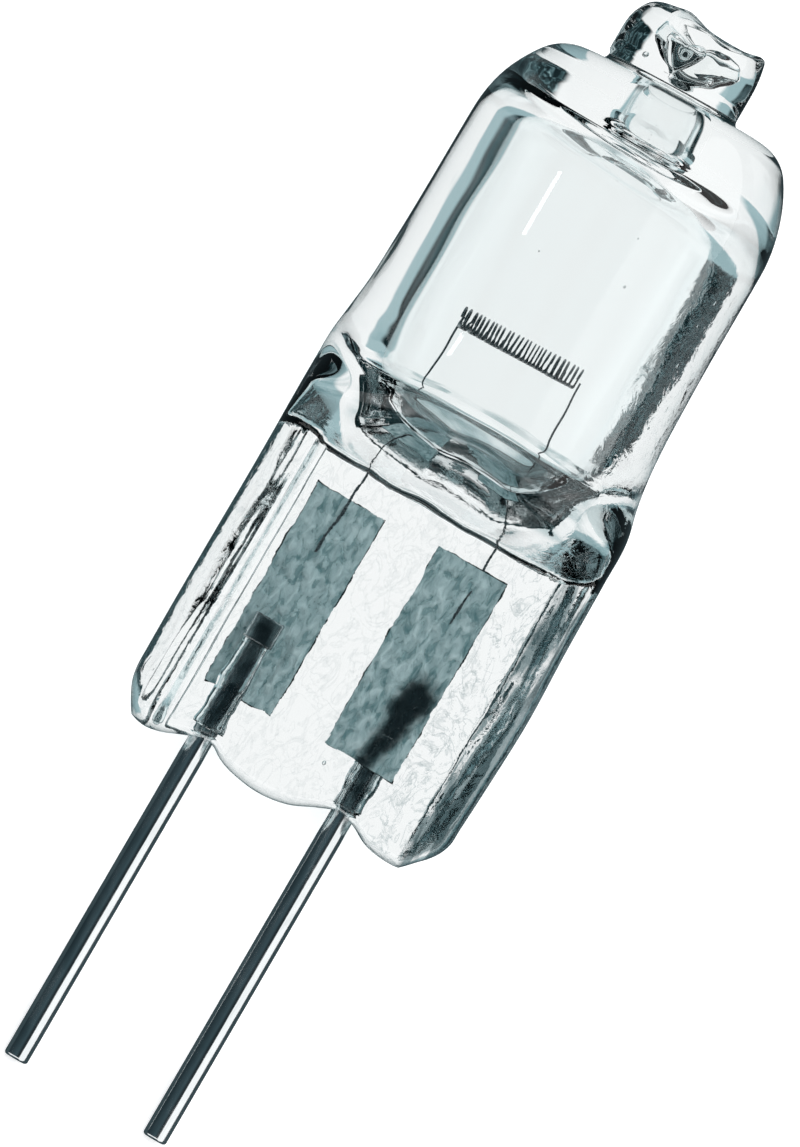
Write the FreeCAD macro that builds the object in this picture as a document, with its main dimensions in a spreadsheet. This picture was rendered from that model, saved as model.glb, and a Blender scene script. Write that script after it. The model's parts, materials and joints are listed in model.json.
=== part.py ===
import FreeCAD, Part
import math
import os

import Sketcher

# A two-pin halogen capsule, modelled standing on its pins and then laid on its side.
# While it stands, X runs from the left pin to the right one, Y to the back and Z up the axis.
# Heights are counted from the lowest point of the pinch, and widths from the axis of the bulb.
DIMENSIONS = {
    "pin_spacing": 4.0,
    "pin_radius": 0.325,
    "pin_reach": 8.8,
    "pin_chamfer": 0.08,
    "pin_taper": 0.01,
    "pin_free_top": -0.05,
    "pin_sealed_left": 3.9,
    "pin_sealed_right": 3.35,
    "mount_offset": -0.1,
    "bore_radius": 0.4,
    "bore_top_left": 3.2,
    "bore_top_right": 2.8,
    "bulb_radius": 4.16,
    "bulb_joint": 14.2,
    "bulb_wall": 1.0,
    "shoulder_start": 17.4,
    "shoulder_radius": 4.0,
    "crown_radius": 1.2,
    "dome_top": 20.2,
    "dome_thickness": 1.8,
    "tip_top": 22.1,
    "tip_radius": 1.8,
    "tip_round": 0.8,
    "tip_root": 19.0,
    "tip_splay": 0.2,
    "exhaust_radius": 0.8,
    "exhaust_top": 20.7,
    "exhaust_apex": 21.3,
    "neck_height": 11.2,
    "neck_drop": 3.0,
    "flare_top": 13.6,
    "flare_bottom": 9.6,
    "pinch_half_width": 4.59,
    "pinch_offset": 0.16,
    "pinch_right_inset": 0.07,
    "pinch_right_bulge": 90.0,
    "pinch_thickness": 3.4,
    "pinch_side_round": 0.9,
    "pinch_shoulder": 9.6,
    "pinch_top": 12.0,
    "pinch_top_half": 3.4,
    "shoulder_hollow": 3.4,
    "side_left_bottom": 1.9,
    "side_right_bottom": 2.6,
    "corner_left_round": 5.0,
    "lobe_left_round": 2.2,
    "lobe_middle_round": 2.8,
    "lobe_right_round": 1.9,
    "notch_round": 0.6,
    "corner_right_round": 1.15,
    "side_right_round": 6.0,
    "web_thickness": 2.4,
    "web_half_width": 3.2,
    "web_slope": 0.45,
    "web_top": 10.0,
    "rib_radius": 0.05,
    "rib_pitch": 0.17,
    "rib_count": 2,
    "cavity_keel": 8.95,
    "cavity_side_floor": 10.2,
    "cavity_round": 1.3,
    "trough_top": 11.3,
    "trough_floor_share": 0.12,
    "trough_bend_share": 0.62,
    "trough_bend_rise": 0.42,
    "trough_floor_round": 4.0,
    "trough_wall_round": 2.2,
    "overshoot": 0.5,
    "foil_width": 1.95,
    "foil_feather": 0.35,
    "foil_edge": 0.01,
    "foil_thickness": 0.03,
    "foil_bottom": 1.8,
    "foil_top": 7.5,
    "foil_offset": 1.7,
    "foil_face": 0.3,
    "wire_radius": 0.03,
    "coil_radius": 0.285,
    "coil_height": 12.83,
    "coil_length": 3.42,
    "coil_turns": 22.5,
    "weld_height": 5.9,
}
# The lobes along the bottom of the pinch, left to right, as width and height of each joint between lobes.
LOBES = {
    "corner_left": (-3.95, 0.1),
    "lobe_left": (-2.5, 0.36),
    "lobe_middle_start": (-1.68, 0.47),
    "lobe_middle_end": (1.5, 0.55),
    "lobe_right": (2.28, 0.6),
    "corner_right": (3.8, 0.12),
    "side_right": (4.57, 1.3),
}
LEFT, RIGHT = -1, 1
# Heights at which the filament's legs bend, and how far outside the coil's end each leg is there.
LEG_HEIGHTS = (12.3, 10.4, 8.9, 7.4)
LEG_SPREADS = {LEFT: (0.01, 0.115, 0.04, 0.07, 0.19), RIGHT: (0.03, 0.16, 0.23, 0.26, 0.2)}
# Degrees round the rounded bottom of the bulb at which the neck has a section.
NECK_TURNS = (0, 8, 24, 42, 59, 75)
STRAIGHT_SECTIONS = 2
# Facets of a rounded edge of the glass, and sides of the wire in the coil and in its legs, all kept few.
OUTER_STEPS = 3
INNER_STEPS = 2
COIL_SIDES = 3
LEG_SIDES = 4
COIL_BY_HEIGHT_AND_TURNS = 2
THROUGH_ALL = 1
NO_CHANGE = 0.001

doc = FreeCAD.newDocument("halogen_capsule")
sheet = doc.addObject("Spreadsheet::Sheet", "sheet")


def side_name(side):
    return "left" if side == LEFT else "right"


def fill_sheet():
    """Writes every driving dimension to the sheet, one row each, with its name as the alias."""
    cells = dict(DIMENSIONS)
    for name, (width, height) in LOBES.items():
        cells[name + "_width"] = width
        cells[name + "_height"] = height
    for bend, height in enumerate(LEG_HEIGHTS, start=1):
        cells[f"leg_bend_{bend}_height"] = height
    for side, spreads in LEG_SPREADS.items():
        for bend, spread in enumerate(spreads, start=1):
            cells[f"leg_bend_{bend}_{side_name(side)}"] = spread
    for row, (name, value) in enumerate(cells.items(), start=1):
        sheet.set(f"A{row}", name)
        sheet.set(f"B{row}", str(value))
        sheet.setAlias(f"B{row}", name)
    doc.recompute()


class Size:
    """A length with the sheet formula that gives it, so that one sum makes both."""

    def __init__(self, value, formula):
        self.value = value
        self.formula = formula

    def combine(self, other, sign, value):
        return Size(value, f"({self.formula} {sign} {other.formula})")

    def __add__(self, other):
        return self.combine(other, "+", self.value + other.value)

    def __sub__(self, other):
        return self.combine(other, "-", self.value - other.value)

    def __mul__(self, other):
        return self.combine(other, "*", self.value * other.value)

    def __truediv__(self, other):
        return self.combine(other, "/", self.value / other.value)

    def root(self):
        return Size(math.sqrt(self.value), f"sqrt({self.formula})")


def cell(name):
    return Size(float(sheet.get(name)), f"sheet.{name}")


def number(value):
    return Size(float(value), f"({value})")


def bind(obj, prop, size):
    obj.setExpression(prop, size.formula)


def new_body(name):
    return doc.addObject("PartDesign::Body", name)


def origin_feature(body, role):
    return next(f for f in body.Origin.OriginFeatures if f.Role == role)


def new_sketch(body, name, plane, offset=(None, None, None)):
    """A sketch on one of the body's own origin planes, moved by bound sizes in its own axes."""
    sketch = body.newObject("Sketcher::SketchObject", name)
    sketch.AttachmentSupport = (origin_feature(body, plane), [""])
    sketch.MapMode = "FlatFace"
    for letter, size in zip("xyz", offset):
        if size is not None:
            bind(sketch, f"AttachmentOffset.Base.{letter}", size)
    doc.recompute()
    return sketch


def fix_point(sketch, geometry, end, x, y):
    """Holds one end of a line or arc at a bound place."""
    for axis, kind, size in ((-2, "DistanceX", x), (-1, "DistanceY", y)):
        if size.value == 0:
            sketch.addConstraint(Sketcher.Constraint("PointOnObject", geometry, end, axis))
        else:
            index = sketch.addConstraint(Sketcher.Constraint(kind, -1, 1, geometry, end, size.value))
            bind(sketch, f"Constraints[{index}]", size)


def add_arc(sketch, start, end, radius, way):
    """An arc that turns left (way 1) or right (way -1) from start to end. Returns it and its first end."""
    chord = end - start
    middle = start + chord * 0.5
    rise = math.sqrt(radius.value**2 - (chord.Length / 2) ** 2)
    across = FreeCAD.Vector(-chord.y, chord.x, 0).normalize()
    centre = middle + across * rise * way
    first, last = (start, end) if way > 0 else (end, start)
    angles = [math.atan2(p.y - centre.y, p.x - centre.x) for p in (first, last)]
    circle = Part.Circle(centre, FreeCAD.Vector(0, 0, 1), radius.value)
    geometry = sketch.addGeometry(Part.ArcOfCircle(circle, angles[0], angles[1]))
    index = sketch.addConstraint(Sketcher.Constraint("Radius", geometry, radius.value))
    bind(sketch, f"Constraints[{index}]", radius)
    return geometry, (1 if way > 0 else 2)


def draw(sketch, corners, arcs=None):
    """A closed outline through bound corners. arcs gives the radius and way of an edge by its number."""
    arcs = arcs or {}
    points = [FreeCAD.Vector(x.value, y.value, 0) for x, y in corners]
    edges = []
    for index, start in enumerate(points):
        end = points[(index + 1) % len(points)]
        if index in arcs:
            edges.append(add_arc(sketch, start, end, *arcs[index]))
        else:
            edges.append((sketch.addGeometry(Part.LineSegment(start, end)), 1))
    for index, (geometry, first) in enumerate(edges):
        before, before_first = edges[index - 1]
        sketch.addConstraint(Sketcher.Constraint("Coincident", before, 3 - before_first, geometry, first))
        fix_point(sketch, geometry, first, *corners[index])
    doc.recompute()


def draw_circle(sketch, x, y, radius):
    circle = Part.Circle(FreeCAD.Vector(x.value, y.value, 0), FreeCAD.Vector(0, 0, 1), radius.value)
    geometry = sketch.addGeometry(circle)
    index = sketch.addConstraint(Sketcher.Constraint("Radius", geometry, radius.value))
    bind(sketch, f"Constraints[{index}]", radius)
    fix_point(sketch, geometry, 3, x, y)


def bevel(centre_x, centre_y, radius, steps, start=0, end=90):
    """The corners between the two ends of a rounded edge that is made of a few flat steps."""
    corners = []
    for step in range(1, steps):
        turn = math.radians(start + (end - start) * step / steps)
        out, up = number(math.cos(turn)), number(math.sin(turn))
        corners.append((centre_x + radius * out, centre_y + radius * up))
    return corners


def revolve(body, sketch, name):
    """Turns a half profile a full turn about the sketch's own vertical axis."""
    feature = body.newObject("PartDesign::Revolution", name)
    feature.Profile = sketch
    feature.ReferenceAxis = (sketch, ["V_Axis"])
    feature.Angle = 360
    doc.recompute()
    return feature


def fused(name, pieces):
    feature = doc.addObject("Part::MultiFuse", name)
    feature.Shapes = pieces
    return feature


def cut(name, base, tool):
    feature = doc.addObject("Part::Cut", name)
    feature.Base = base
    feature.Tool = tool
    return feature


def axis_of_pin(side):
    half = cell("pin_spacing") / number(2)
    return cell("mount_offset") + half * number(side)


# Glass: the blown bulb with its dome and the sealed end of the exhaust tube
def crown_corner():
    """Centre of the small crown arc and the point where it passes into the large shoulder arc."""
    shoulder, crown = cell("shoulder_radius"), cell("crown_radius")
    rise = cell("dome_top") - crown - cell("shoulder_start")
    gap = shoulder - crown
    run = (gap * gap - rise * rise).root()
    shoulder_centre = cell("bulb_radius") - shoulder
    crown_centre = shoulder_centre + run
    meeting = (shoulder_centre + run * shoulder / gap, cell("shoulder_start") + rise * shoulder / gap)
    return crown_centre, meeting


def make_bulb():
    body = new_body("bulb_form")
    crown_centre, meeting = crown_corner()
    crown_height = cell("dome_top") - cell("crown_radius")
    out, up = meeting[0] - crown_centre, meeting[1] - crown_height
    start = math.degrees(math.atan2(up.value, out.value))
    zero = number(0)
    profile = new_sketch(body, "bulb_profile", "XZ_Plane")
    corners = [
        (zero, cell("bulb_joint")),
        (cell("bulb_radius"), cell("bulb_joint")),
        (cell("bulb_radius"), cell("shoulder_start")),
        meeting,
        *bevel(crown_centre, crown_height, cell("crown_radius"), OUTER_STEPS, start),
        (crown_centre, cell("dome_top")),
        (zero, cell("dome_top")),
    ]
    draw(profile, corners, {2: (cell("shoulder_radius"), 1)})
    revolve(body, profile, "bulb")
    make_exhaust_tip(body)
    return body


def make_exhaust_tip(body):
    """The melted-off end of the exhaust tube, a little off the bulb's axis, splayed at its root."""
    zero = number(0)
    top, round_radius = cell("tip_top"), cell("tip_round")
    radius, splay = cell("tip_radius"), cell("tip_splay")
    profile = new_sketch(body, "tip_profile", "XZ_Plane", (cell("mount_offset"), None, None))
    corners = [
        (zero, cell("tip_root")),
        (radius + splay, cell("tip_root")),
        (radius + splay, cell("dome_top")),
        (radius, cell("dome_top") + splay),
        (radius, top - round_radius),
        *bevel(radius - round_radius, top - round_radius, round_radius, OUTER_STEPS),
        (radius - round_radius, top),
        (zero, top),
    ]
    draw(profile, corners)
    revolve(body, profile, "tip")


# Glass: the neck, where the round tube passes into the wide flat pinch
def flare(height):
    """Half the width of the neck at a height and its middle, eased from the bulb's to the pinch's."""
    drop = DIMENSIONS["flare_top"] - DIMENSIONS["flare_bottom"]
    share = min(max((DIMENSIONS["flare_top"] - height) / drop, 0), 1)
    eased = number(share * share * (3 - 2 * share))
    widest = cell("pinch_half_width") - cell("pinch_right_inset") / number(2)
    middle = cell("pinch_offset") - cell("pinch_right_inset") / number(2)
    return cell("bulb_radius") + (widest - cell("bulb_radius")) * eased, middle * eased


def neck_sections():
    """Height, half width, middle and half depth of each section from the bulb down into the pinch."""
    top, start = DIMENSIONS["bulb_joint"], DIMENSIONS["neck_height"]
    for step in range(STRAIGHT_SECTIONS):
        height = top + (start - top) * step / STRAIGHT_SECTIONS
        yield number(height), *flare(height), cell("bulb_radius")
    for degrees in NECK_TURNS:
        turn = math.radians(degrees)
        height = start - DIMENSIONS["neck_drop"] * math.sin(turn)
        bound_height = cell("neck_height") - cell("neck_drop") * number(math.sin(turn))
        yield bound_height, *flare(height), cell("bulb_radius") * number(math.cos(turn))


def make_neck():
    rings = []
    for height, half_width, middle, half_depth in neck_sections():
        ring = doc.addObject("Part::Ellipse", f"neck_ring_{len(rings)}")
        bind(ring, "MajorRadius", half_width)
        bind(ring, "MinorRadius", half_depth)
        bind(ring, "Placement.Base.x", middle)
        bind(ring, "Placement.Base.z", height)
        rings.append(ring)
    neck = doc.addObject("Part::Loft", "neck_form")
    neck.Sections = rings
    neck.Solid = True
    neck.Ruled = True
    return neck


# Glass: the pinch, pressed flat between two jaws round the foils
def lobe(name):
    return cell(name + "_width"), cell(name + "_height")


def pinch_outline(sketch):
    left = cell("pinch_offset") - cell("pinch_half_width")
    right = cell("pinch_offset") + cell("pinch_half_width") - cell("pinch_right_inset")
    corners = [
        (left, cell("pinch_shoulder")),
        (left, cell("side_left_bottom")),
        lobe("corner_left"),
        lobe("lobe_left"),
        lobe("lobe_middle_start"),
        lobe("lobe_middle_end"),
        lobe("lobe_right"),
        lobe("corner_right"),
        lobe("side_right"),
        (right, cell("side_right_bottom")),
        (right, cell("pinch_shoulder")),
        (cell("pinch_top_half"), cell("pinch_top")),
        (number(-1) * cell("pinch_top_half"), cell("pinch_top")),
    ]
    arcs = {
        1: (cell("corner_left_round"), 1),
        2: (cell("lobe_left_round"), 1),
        3: (cell("notch_round"), -1),
        4: (cell("lobe_middle_round"), 1),
        5: (cell("notch_round"), -1),
        6: (cell("lobe_right_round"), 1),
        7: (cell("corner_right_round"), 1),
        8: (cell("side_right_round"), 1),
        9: (cell("pinch_right_bulge"), 1),
        10: (cell("shoulder_hollow"), 1),
        12: (cell("shoulder_hollow"), 1),
    }
    draw(sketch, corners, arcs)


def pinch_section(sketch):
    """The section through both flanges, rounded outside, and the thinner web between them."""
    middle, half_width = cell("pinch_offset"), cell("pinch_half_width")
    half_web, slope = cell("web_half_width"), cell("web_slope")
    face, web = cell("pinch_thickness") / number(2), cell("web_thickness") / number(2)
    corner = cell("pinch_side_round")
    half_front = [
        (half_width, face - corner),
        (half_width - corner, face),
        (half_web + slope, face),
        (half_web, web),
    ]
    right_back = [(middle + x, y) for x, y in half_front]
    left_back = [(middle - x, y) for x, y in reversed(half_front)]
    back = right_back + left_back
    front = [(x, number(-1) * y) for x, y in reversed(back)]
    draw(sketch, back + front, {0: (corner, 1), 6: (corner, 1), 8: (corner, 1), 14: (corner, 1)})


def make_pinch():
    body = new_body("pinch_form")
    section = new_sketch(body, "pinch_section", "XY_Plane")
    pinch_section(section)
    bar = body.newObject("PartDesign::Pad", "pressed_bar")
    bar.Profile = section
    bind(bar, "Length", cell("pinch_top"))
    doc.recompute()
    groove_ribs(body)
    trim_outline(body)
    return body


def groove_ribs(body):
    """Fine grooves up the flanges beside the web, front and back."""
    rim = cell("web_half_width") + cell("web_slope")
    for name, way in (("front", -1), ("back", 1)):
        grooves = new_sketch(body, f"groove_section_{name}", "XY_Plane")
        face = cell("pinch_thickness") / number(2) * number(way)
        for side in (LEFT, RIGHT):
            for step in range(DIMENSIONS["rib_count"]):
                out = rim + cell("rib_pitch") * number(step + 0.5)
                draw_circle(grooves, cell("pinch_offset") + out * number(side), face, cell("rib_radius"))
        feature = body.newObject("PartDesign::Pocket", f"grooves_{name}")
        feature.Profile = grooves
        feature.Reversed = True
        bind(feature, "Length", cell("web_top"))
        recompute_cut(body, feature)


def trim_outline(body):
    """Cuts the bar to its front outline, with the lobed bottom and the shoulders under the neck."""
    outline = new_sketch(body, "pinch_outline", "XZ_Plane")
    reach = cell("pinch_half_width") + cell("overshoot")
    below = number(-1) * cell("overshoot")
    above = cell("pinch_top") + cell("overshoot")
    frame = [
        (number(-1) * reach, below),
        (reach, below),
        (reach, above),
        (number(-1) * reach, above),
    ]
    draw(outline, frame)
    pinch_outline(outline)
    trim = body.newObject("PartDesign::Pocket", "trimmed")
    trim.Profile = outline
    trim.Midplane = True
    trim.Type = THROUGH_ALL
    recompute_cut(body, trim)


def recompute_cut(body, feature):
    """Recomputes after a new pocket and stops if it takes nothing off its body."""
    before = body.Shape.Volume
    doc.recompute()
    if body.Shape.Volume > before - NO_CHANGE:
        raise RuntimeError(f"{feature.Label} cuts nothing")


# Glass: the sealed hollow of the bulb, which narrows to a keel over the pinch
def make_cavity():
    body = new_body("cavity_form")
    zero = number(0)
    inner = cell("bulb_radius") - cell("bulb_wall")
    ceiling = cell("dome_top") - cell("dome_thickness")
    corner = cell("cavity_round")
    profile = new_sketch(body, "cavity_profile", "XZ_Plane")
    corners = [
        (zero, cell("cavity_keel")),
        (inner, cell("cavity_side_floor")),
        (inner, ceiling - corner),
        *bevel(inner - corner, ceiling - corner, corner, INNER_STEPS),
        (inner - corner, ceiling),
        (cell("exhaust_radius"), ceiling),
        (cell("exhaust_radius"), cell("exhaust_top")),
        (zero, cell("exhaust_apex")),
    ]
    draw(profile, corners)
    revolve(body, profile, "cavity")
    trim_trough(body, inner)
    return body


def trim_trough(body, inner):
    """Takes the lower front and back corners off the hollow, where the glass was pressed together."""
    floor, top = cell("cavity_keel"), cell("trough_top")
    outside = inner + cell("overshoot")
    below = floor - cell("overshoot")
    rise = (top - floor) * cell("trough_bend_rise")
    for name, way in (("front", -1), ("back", 1)):
        section = new_sketch(body, f"trough_{name}", "YZ_Plane")
        sign = number(way)
        floor_edge = inner * cell("trough_floor_share") * sign
        corners = [
            (floor_edge, floor),
            (inner * cell("trough_bend_share") * sign, floor + rise),
            (inner * sign, top),
            (outside * sign, top),
            (outside * sign, below),
            (floor_edge, below),
        ]
        draw(section, corners, {0: (cell("trough_floor_round"), way), 1: (cell("trough_wall_round"), way)})
        feature = body.newObject("PartDesign::Pocket", f"trough_cut_{name}")
        feature.Profile = section
        feature.Midplane = True
        feature.Type = THROUGH_ALL
        recompute_cut(body, feature)


# Contact pins, each a wire with a chamfered end and a slight taper where it is sealed in
def make_pin_form(side):
    body = new_body(f"pin_form_{side_name(side)}")
    zero = number(0)
    radius, chamfer = cell("pin_radius"), cell("pin_chamfer")
    bottom = number(-1) * cell("pin_reach")
    top = cell(f"pin_sealed_{side_name(side)}")
    profile = new_sketch(body, f"pin_profile_{side_name(side)}", "XZ_Plane", (axis_of_pin(side), None, None))
    corners = [
        (zero, bottom),
        (radius - chamfer, bottom),
        (radius, bottom + chamfer),
        (radius, cell("pin_free_top")),
        (radius - cell("pin_taper"), top),
        (zero, top),
    ]
    draw(profile, corners)
    revolve(body, profile, f"pin_{side_name(side)}_turned")
    return body


def make_bore(side):
    """The narrow gap that the glass leaves round the pin below its seal."""
    body = new_body(f"bore_form_{side_name(side)}")
    zero = number(0)
    profile = new_sketch(body, f"bore_profile_{side_name(side)}", "XZ_Plane", (axis_of_pin(side), None, None))
    top = cell(f"bore_top_{side_name(side)}")
    below = number(-1) * cell("overshoot")
    corners = [
        (zero, below),
        (cell("bore_radius"), below),
        (cell("bore_radius"), top),
        (zero, top + cell("bore_radius")),
    ]
    draw(profile, corners)
    revolve(body, profile, f"bore_{side_name(side)}")
    return body


# Foils, flat strips with feathered long edges. The left one lies behind its pin, the right one before it
def make_foil_form(side):
    body = new_body(f"foil_form_{side_name(side)}")
    back = number(-side)
    middle = cell("mount_offset") + cell("foil_offset") * number(side)
    half = cell("foil_width") / number(2)
    flat = half - cell("foil_feather")
    face = cell("foil_face") * back
    far_face = (cell("foil_face") + cell("foil_thickness")) * back
    centre_plane = cell("foil_face") + cell("foil_thickness") / number(2)
    near_edge = (centre_plane - cell("foil_edge") / number(2)) * back
    far_edge = (centre_plane + cell("foil_edge") / number(2)) * back
    section = new_sketch(
        body, f"foil_section_{side_name(side)}", "XY_Plane", (None, None, cell("foil_bottom"))
    )
    corners = [
        (middle - half, near_edge),
        (middle - flat, face),
        (middle + flat, face),
        (middle + half, near_edge),
        (middle + half, far_edge),
        (middle + flat, far_face),
        (middle - flat, far_face),
        (middle - half, far_edge),
    ]
    draw(section, corners)
    pad = body.newObject("PartDesign::Pad", f"foil_{side_name(side)}_strip")
    pad.Profile = section
    bind(pad, "Length", cell("foil_top") - cell("foil_bottom"))
    doc.recompute()
    return body


# Filament: a close coil across the bulb whose two ends run down as legs to the foils
def wire_section(sketch, x, y, radius, sides):
    """The wire's section, with few sides."""
    corners = []
    for step in range(sides):
        turn = 2 * math.pi * step / sides
        corners.append((x + radius * number(math.cos(turn)), y + radius * number(math.sin(turn))))
    draw(sketch, corners)


def make_coil():
    body = new_body("coil_form")
    start = cell("mount_offset") - cell("coil_length") / number(2)
    section = new_sketch(body, "coil_section", "XY_Plane", (None, None, cell("coil_height")))
    wire_section(section, start, cell("coil_radius"), cell("wire_radius"), COIL_SIDES)
    coil = body.newObject("PartDesign::AdditiveHelix", "coil")
    coil.Profile = section
    coil.ReferenceAxis = (section, ["H_Axis"])
    coil.Mode = COIL_BY_HEIGHT_AND_TURNS
    bind(coil, "Height", cell("coil_length"))
    bind(coil, "Turns", cell("coil_turns"))
    doc.recompute()
    return body


def leg_bends(side):
    """Places where a leg changes direction, from the coil's end down to its weld on the foil."""
    end = cell("mount_offset") + cell("coil_length") / number(2) * number(side)
    levels = [cell(f"leg_bend_{bend}_height") for bend in range(1, len(LEG_HEIGHTS) + 1)]
    bends = [(end, cell("coil_height"))]
    for bend, level in enumerate([*levels, cell("weld_height")], start=1):
        bends.append((end + cell(f"leg_bend_{bend}_{side_name(side)}") * number(side), level))
    return bends


def make_leg(side):
    body = new_body(f"leg_form_{side_name(side)}")
    plane = cell("coil_radius") * number(side)
    bends = leg_bends(side)
    path = new_sketch(body, f"leg_path_{side_name(side)}", "XZ_Plane", (None, None, plane))
    points = [FreeCAD.Vector(x.value, y.value, 0) for x, y in bends]
    for index in range(len(points) - 1):
        line = path.addGeometry(Part.LineSegment(points[index], points[index + 1]))
        if index:
            path.addConstraint(Sketcher.Constraint("Coincident", index - 1, 2, line, 1))
        fix_point(path, line, 1, *bends[index])
    fix_point(path, len(points) - 2, 2, *bends[-1])
    top = (None, None, cell("coil_height"))
    section = new_sketch(body, f"leg_section_{side_name(side)}", "XY_Plane", top)
    wire_section(section, bends[0][0], plane * number(-1), cell("wire_radius"), LEG_SIDES)
    pipe = body.newObject("PartDesign::AdditivePipe", f"leg_{side_name(side)}")
    pipe.Profile = section
    pipe.Spine = (path, [])
    pipe.Transition = "Round corner"
    doc.recompute()
    return body


def check_shapes():
    """Stops if any object failed, or any sub-part is empty, invalid or not one solid."""
    for obj in doc.Objects:
        if {"Invalid", "Error"} & set(obj.State):
            raise RuntimeError(f"{obj.Label} failed: {obj.State}")
    for node in NODES:
        shape = node.Shape
        if shape.isNull() or not shape.isValid() or len(shape.Solids) != 1:
            raise RuntimeError(f"{node.Label} is not one valid solid")


def rest_tilt():
    """Degrees that the axis rises when the belly of the neck and both pin ends touch the ground."""
    belly, drop = DIMENSIONS["bulb_radius"], DIMENSIONS["neck_drop"]
    pin = DIMENSIONS["pin_radius"]
    span = DIMENSIONS["neck_height"] + DIMENSIONS["pin_reach"] - DIMENSIONS["pin_chamfer"]
    # (span * slope + pin)**2 = (drop * slope)**2 + belly**2, as a quadratic in the slope
    a = span**2 - drop**2
    half_b = pin * span
    c = pin**2 - belly**2
    slope = (math.sqrt(half_b**2 - a * c) - half_b) / a
    return math.degrees(math.atan(slope))


def lie_down():
    """Lays every form on its side, with the exhaust tip towards +Y and the origin under the box's middle."""
    turn = FreeCAD.Rotation(FreeCAD.Vector(1, 0, 0), rest_tilt() - 90)
    whole = Part.makeCompound([node.Shape for node in NODES])
    whole.Placement = FreeCAD.Placement(FreeCAD.Vector(), turn)
    box = whole.optimalBoundingBox(True)
    base = FreeCAD.Vector(-box.Center.x, -box.Center.y, -box.ZMin)
    placement = FreeCAD.Placement(base, turn)
    for form in FORMS:
        form.Placement = placement
    doc.recompute()


fill_sheet()
bulb, neck, pinch, cavity = make_bulb(), make_neck(), make_pinch(), make_cavity()
pin_forms = {side: make_pin_form(side) for side in (LEFT, RIGHT)}
bores = {side: make_bore(side) for side in (LEFT, RIGHT)}
foils = {side: make_foil_form(side) for side in (LEFT, RIGHT)}
coil = make_coil()
leg_forms = {side: make_leg(side) for side in (LEFT, RIGHT)}

legs, pins = {}, {}
for side in (LEFT, RIGHT):
    legs[side] = cut(f"leg_{side_name(side)}_flattened", leg_forms[side], foils[side])
    pins[side] = cut(f"contact_pin_{side_name(side)}", pin_forms[side], foils[side])
filament = fused("filament", [coil, legs[LEFT], legs[RIGHT]])
blank = fused("glass_blank", [bulb, neck, pinch])
inserts = fused("glass_inserts", [*pins.values(), *bores.values(), *foils.values(), *legs.values()])
hollow = cut("glass_hollow", blank, cavity)
envelope = cut("glass_envelope", hollow, inserts)
doc.recompute()

envelope.Label = "glass_envelope"
filament.Label = "filament"
for side in (LEFT, RIGHT):
    foils[side].Label = f"foil_{side_name(side)}"
    pins[side].Label = f"contact_pin_{side_name(side)}"
NODES = [envelope, filament, *foils.values(), *pins.values()]
FORMS = [bulb, neck, pinch, cavity, coil, *foils.values()]
for forms in (pin_forms, bores, leg_forms):
    FORMS.extend(forms.values())
lie_down()
check_shapes()

os.makedirs("parts", exist_ok=True)
for node in NODES:
    node.Shape.exportStep(f"parts/{node.Label}.step")
    print(node.Label, round(node.Shape.Volume, 3), "mm3")
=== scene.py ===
import json
import math

import bpy
import numpy as np
from mathutils import Matrix, Vector, noise


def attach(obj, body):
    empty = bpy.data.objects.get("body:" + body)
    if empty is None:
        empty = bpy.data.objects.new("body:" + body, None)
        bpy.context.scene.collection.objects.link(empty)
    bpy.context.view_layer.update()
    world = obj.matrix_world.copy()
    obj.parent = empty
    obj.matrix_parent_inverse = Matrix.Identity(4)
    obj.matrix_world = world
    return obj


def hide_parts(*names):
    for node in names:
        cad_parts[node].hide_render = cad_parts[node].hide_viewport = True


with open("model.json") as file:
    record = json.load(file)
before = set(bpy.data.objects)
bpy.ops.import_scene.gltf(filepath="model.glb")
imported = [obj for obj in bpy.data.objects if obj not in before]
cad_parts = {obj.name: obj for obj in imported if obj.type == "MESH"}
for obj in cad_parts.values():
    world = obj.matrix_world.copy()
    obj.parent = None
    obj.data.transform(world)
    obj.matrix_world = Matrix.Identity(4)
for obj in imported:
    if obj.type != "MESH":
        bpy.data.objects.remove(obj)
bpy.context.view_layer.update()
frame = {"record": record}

# Everything below is drawn in the lamp's own millimetres: u to the right, v to the back, w up its axis
# from the lowest point of the pinch. The pins' mounts say where that is in the frame.
MM = 0.001
PIN_MIDDLE_U = -0.1
PIN_FREE_TOP = -0.05
PIN_END = -8.797
PIN_CHAMFER = 0.08
PIN_SPACING = 4.0
PIN_RADIUS = 0.3235
BULB_RADIUS = 4.158
BULB_WALL = 1.0
INNER_RADIUS = BULB_RADIUS - BULB_WALL
SHOULDER_START = 17.4
SHOULDER_RADIUS = 4.0
CROWN_RADIUS = 1.2
DOME_TOP = 20.2
TIP_TOP = 22.095
TIP_RADIUS = 1.8
NECK_HEIGHT = 11.2
NECK_DROP = 3.0
LEFT, RIGHT = -1, 1
QUARTER_TURN = math.pi / 2
FULL_TURN = 2 * math.pi

MOUNTS = {mount["name"]: mount for mount in frame["record"]["mounts"]}
PIN_MIDDLE = (Vector(MOUNTS["pin_left"]["pos_m"]) + Vector(MOUNTS["pin_right"]["pos_m"])) / 2
PIN_MIDDLE_W = (PIN_FREE_TOP + PIN_END + PIN_CHAMFER) / 2
AXIS = -Vector(MOUNTS["pin_left"]["axis"]).normalized()
ACROSS = Vector((1, 0, 0))
BACK = AXIS.cross(ACROSS)


def lamp_matrix():
    """Takes the lamp's own millimetres to the frame's metres."""
    turn = Matrix((ACROSS, BACK, AXIS)).transposed().to_4x4()
    shift = Matrix.Translation(Vector((-PIN_MIDDLE_U, 0, -PIN_MIDDLE_W)))
    return Matrix.Translation(PIN_MIDDLE) @ turn @ Matrix.Scale(MM, 4) @ shift


LAMP = lamp_matrix()


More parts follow.
